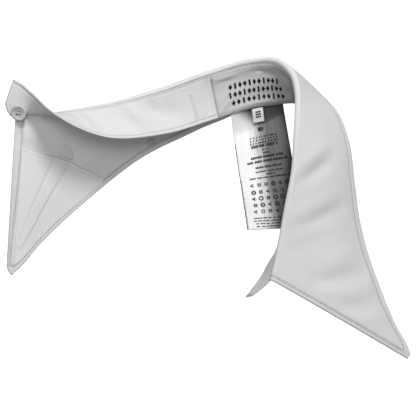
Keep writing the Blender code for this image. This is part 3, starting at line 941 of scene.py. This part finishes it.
PRINT_GAP = 0.2    # between the dashes of a word, in mm
WORD_GAP = 1.0
shapes = []
seed = 0
for _, y, tall, x0, x1, word in PRINT_ROWS:
    x = x0
    while x < x1 - 0.6:
        seed += 1
        end = min(x + word * (0.55 + 0.45 * hashed(seed)), x1)
        while x < end - 0.4:
            wide = 0.75 + 0.4 * hashed(seed + x)
            shapes.append(box(x, y - PRINT_BOLD * tall, x + wide, y + PRINT_BOLD * tall))
            x += wide + PRINT_GAP
        x = end + WORD_GAP
# dark selvedge down the left edge, with short ticks beside its lower part
for k in range(38):
    y = 24.0 + 2.0 * k
    shapes.append(box(-0.12, y, 0.42, y + 2.0))
    if k > 16:
        shapes.append([(0.42, y), (1.1 + 0.5 * hashed(k + 0.3), y), (1.1, y + 0.7), (0.42, y + 0.7)])
# rows of blank little signs: open squares, triangles and rings, some with a bar in them
SIGN_ROWS = (63.5, 69.5, 74.8, 80.2, 85.6)
SIGN_SIZE = 1.95
for r, y in enumerate(SIGN_ROWS):
    for c in range(6):
        x = 8.5 + c * 5.7 + 0.5 * (r % 2)
        seed += 1
        turns = (4, 3, 10)[int(hashed(seed) * 3)]
        angles = [2 * math.pi * (k + 0.5) / turns for k in range(turns)]
        ring = [(x + SIGN_SIZE * math.cos(a), y + SIGN_SIZE * math.sin(a)) for a in angles]
        inner = [(x + (px - x) * 0.52, y + (py - y) * 0.52) for px, py in ring]
        for k in range(turns):
            n = (k + 1) % turns
            shapes.append([ring[k], ring[n], inner[n], inner[k]])
        if hashed(seed + 0.5) > 0.35:
            shapes.append(box(x - 0.8, y - 0.3, x + 0.8, y + 0.3))
flat_marks("satin_print", shapes, satin_at, print_ink)

TAG_ACROSS = (0.39, 0.60)  # over the satin label's width
TAG_DOWN = (0.5, 10.5)     # mm below the band's edge
TAG_HALF = 0.3
tag_p = np.array([[hanging(a, d, 2.1) + np.array([0.0, -1.6, 0.0]) for d in spaced(*TAG_DOWN, 20)]
                  for a in spaced(*TAG_ACROSS, 14)])
t_along, t_down = lengths(tag_p)
tag_p[..., 2] += 0.5 * np.sin(np.clip(t_down / 10.0, 0, 1) * math.pi)
flat_edge = np.zeros_like(t_along)
tag = shell("size_tag_tape", tag_p, rounded(border_distance(t_along, t_down), TAG_HALF, 0.5), tag_white, {
    "cloth": (t_along * MM, t_down * MM), "edge": (flat_edge, flat_edge)})
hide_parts("size_tag")
upward = 1.0 if grid_normals(tag_p)[5, 5][2] > 0 else -1.0
shapes = [box(x - 0.02, y - 0.06, x + 0.11, y + 0.06)
          for y in (0.28, 0.45, 0.62) for x in (0.3, 0.46, 0.62)]
flat_marks("tag_print", shapes, grid_surface(tag_p, upward * 0.4), print_ink)

# ---------------------------------------------------------------- buttonholes
HOLE_ROWS = [
    # name, top s, v, bottom s, v
    ("band centre", -56.0, 0.307, -52.5, 0.837),
    ("right front", 203.0, 0.50, 217.0, 0.52),
]
HOLE_STITCHES = 36    # steps down each side
HOLE_SIDE = 0.75      # from the slit's middle to its stitched sides


def hole_frame(s0, v0, s1, v1, t):
    """Place, way along the slit, side and normal at a share t of the slit's length."""
    p, n = on_band(s0 + (s1 - s0) * t, v0 + (v1 - v0) * t, WALL_HALF)
    q, _ = on_band(s0 + (s1 - s0) * (t + 0.02), v0 + (v1 - v0) * (t + 0.02), WALL_HALF)
    return p, unit(q - p), unit(np.cross(n, q - p)), n


items = []
for _, *ends in HOLE_ROWS:
    for k in range(HOLE_STITCHES + 1):
        p, _, side, n = hole_frame(*ends, k / HOLE_STITCHES)
        for way in (-1.0, 1.0):
            items.append((p + side * way * HOLE_SIDE, side, n, 1.25, 0.5, 0.32))
    # a bar of three stitches closes each end
    for t in (-0.02, 1.02):
        p, direction, side, n = hole_frame(*ends, t)
        for k in (-0.3, 0.0, 0.3):
            items.append((p + direction * k, side, n, 2.6, 0.5, 0.4))
stitch_mesh("buttonhole_stitch", items, thread)

# ---------------------------------------------------------------- buttons
resin, nodes, links = new_material("button_resin")
shader = nodes["Principled BSDF"]
cloud = noise_node(nodes, links, nodes.new("ShaderNodeTexCoord").outputs["Object"], 330.0, 4.0)
links.new(mix_colour(nodes, links, cloud, (0.34, 0.34, 0.335), (0.92, 0.92, 0.91)), shader.inputs["Base Color"])
shader.inputs["Roughness"].default_value = 0.16
shader.inputs["Coat Weight"].default_value = 0.5
shader.inputs["Subsurface Weight"].default_value = 0.1
shader.inputs["Subsurface Scale"].default_value = 0.002
# crossed thread over the holes: each button's place on its cloth, and its face's distance from that
# cloth's middle, as in the model
CLOTH_HALF = 0.75
FRONT_BUTTON = (-199.2, 0.19)  # on the band
SMALL_BUTTON = (-75.5, 0.83)   # on the leaf
p, n = on_band(*FRONT_BUTTON, -(CLOTH_HALF + 0.7 + 1.85))
q, m = on_leaf(*SMALL_BUTTON, CLOTH_HALF + 0.6 + 1.25)
items = []
# place, face, how far the stitches reach
for spot, face, reach in ((p, -n, 1.15), (q, m, 0.55)):
    x = unit(np.cross((0.0, 1.0, 0.2), face))
    y = np.cross(face, x)
    for way in (1.0, -1.0):
        items.append((spot + face * 0.1, unit(x + way * y), face, reach * 3.4, 0.55, 0.35))
    items.append((spot + face * 0.2, x, face, reach, 0.8, 0.3))
stitch_mesh("button_thread", items, thread)
for name in ("front_button", "small_button"):
    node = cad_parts[name]
    for slot_item in node.material_slots:
        slot_item.material = resin

# ---------------------------------------------------------------- floor
FLOOR_REACH = 30.0  # metres, far past every view
floor_mesh = bpy.data.meshes.new("floor")
floor_mesh.from_pydata([(x, y, 0) for x, y in box(-FLOOR_REACH, -FLOOR_REACH, FLOOR_REACH, FLOOR_REACH)],
                       [], [(0, 1, 2, 3)])
floor = bpy.data.objects.new("floor", floor_mesh)
bpy.context.scene.collection.objects.link(floor)
m, nodes, links = new_material("pale_floor")
nodes["Principled BSDF"].inputs["Base Color"].default_value = (0.5, 0.5, 0.5, 1.0)
nodes["Principled BSDF"].inputs["Roughness"].default_value = 0.9
nodes["Principled BSDF"].inputs["Emission Color"].default_value = (1.0, 1.0, 1.0, 1.0)
nodes["Principled BSDF"].inputs["Emission Strength"].default_value = 1.0
floor_mesh.materials.append(m)
floor.visible_diffuse = False
floor.visible_glossy = False

# ---------------------------------------------------------------- lamps
area_light("key", (0.26, 0.76, 1.26), size=0.38, power=13.0)
area_light("overhead", (-0.1, -0.1, 1.5), size=0.6, power=4.6)
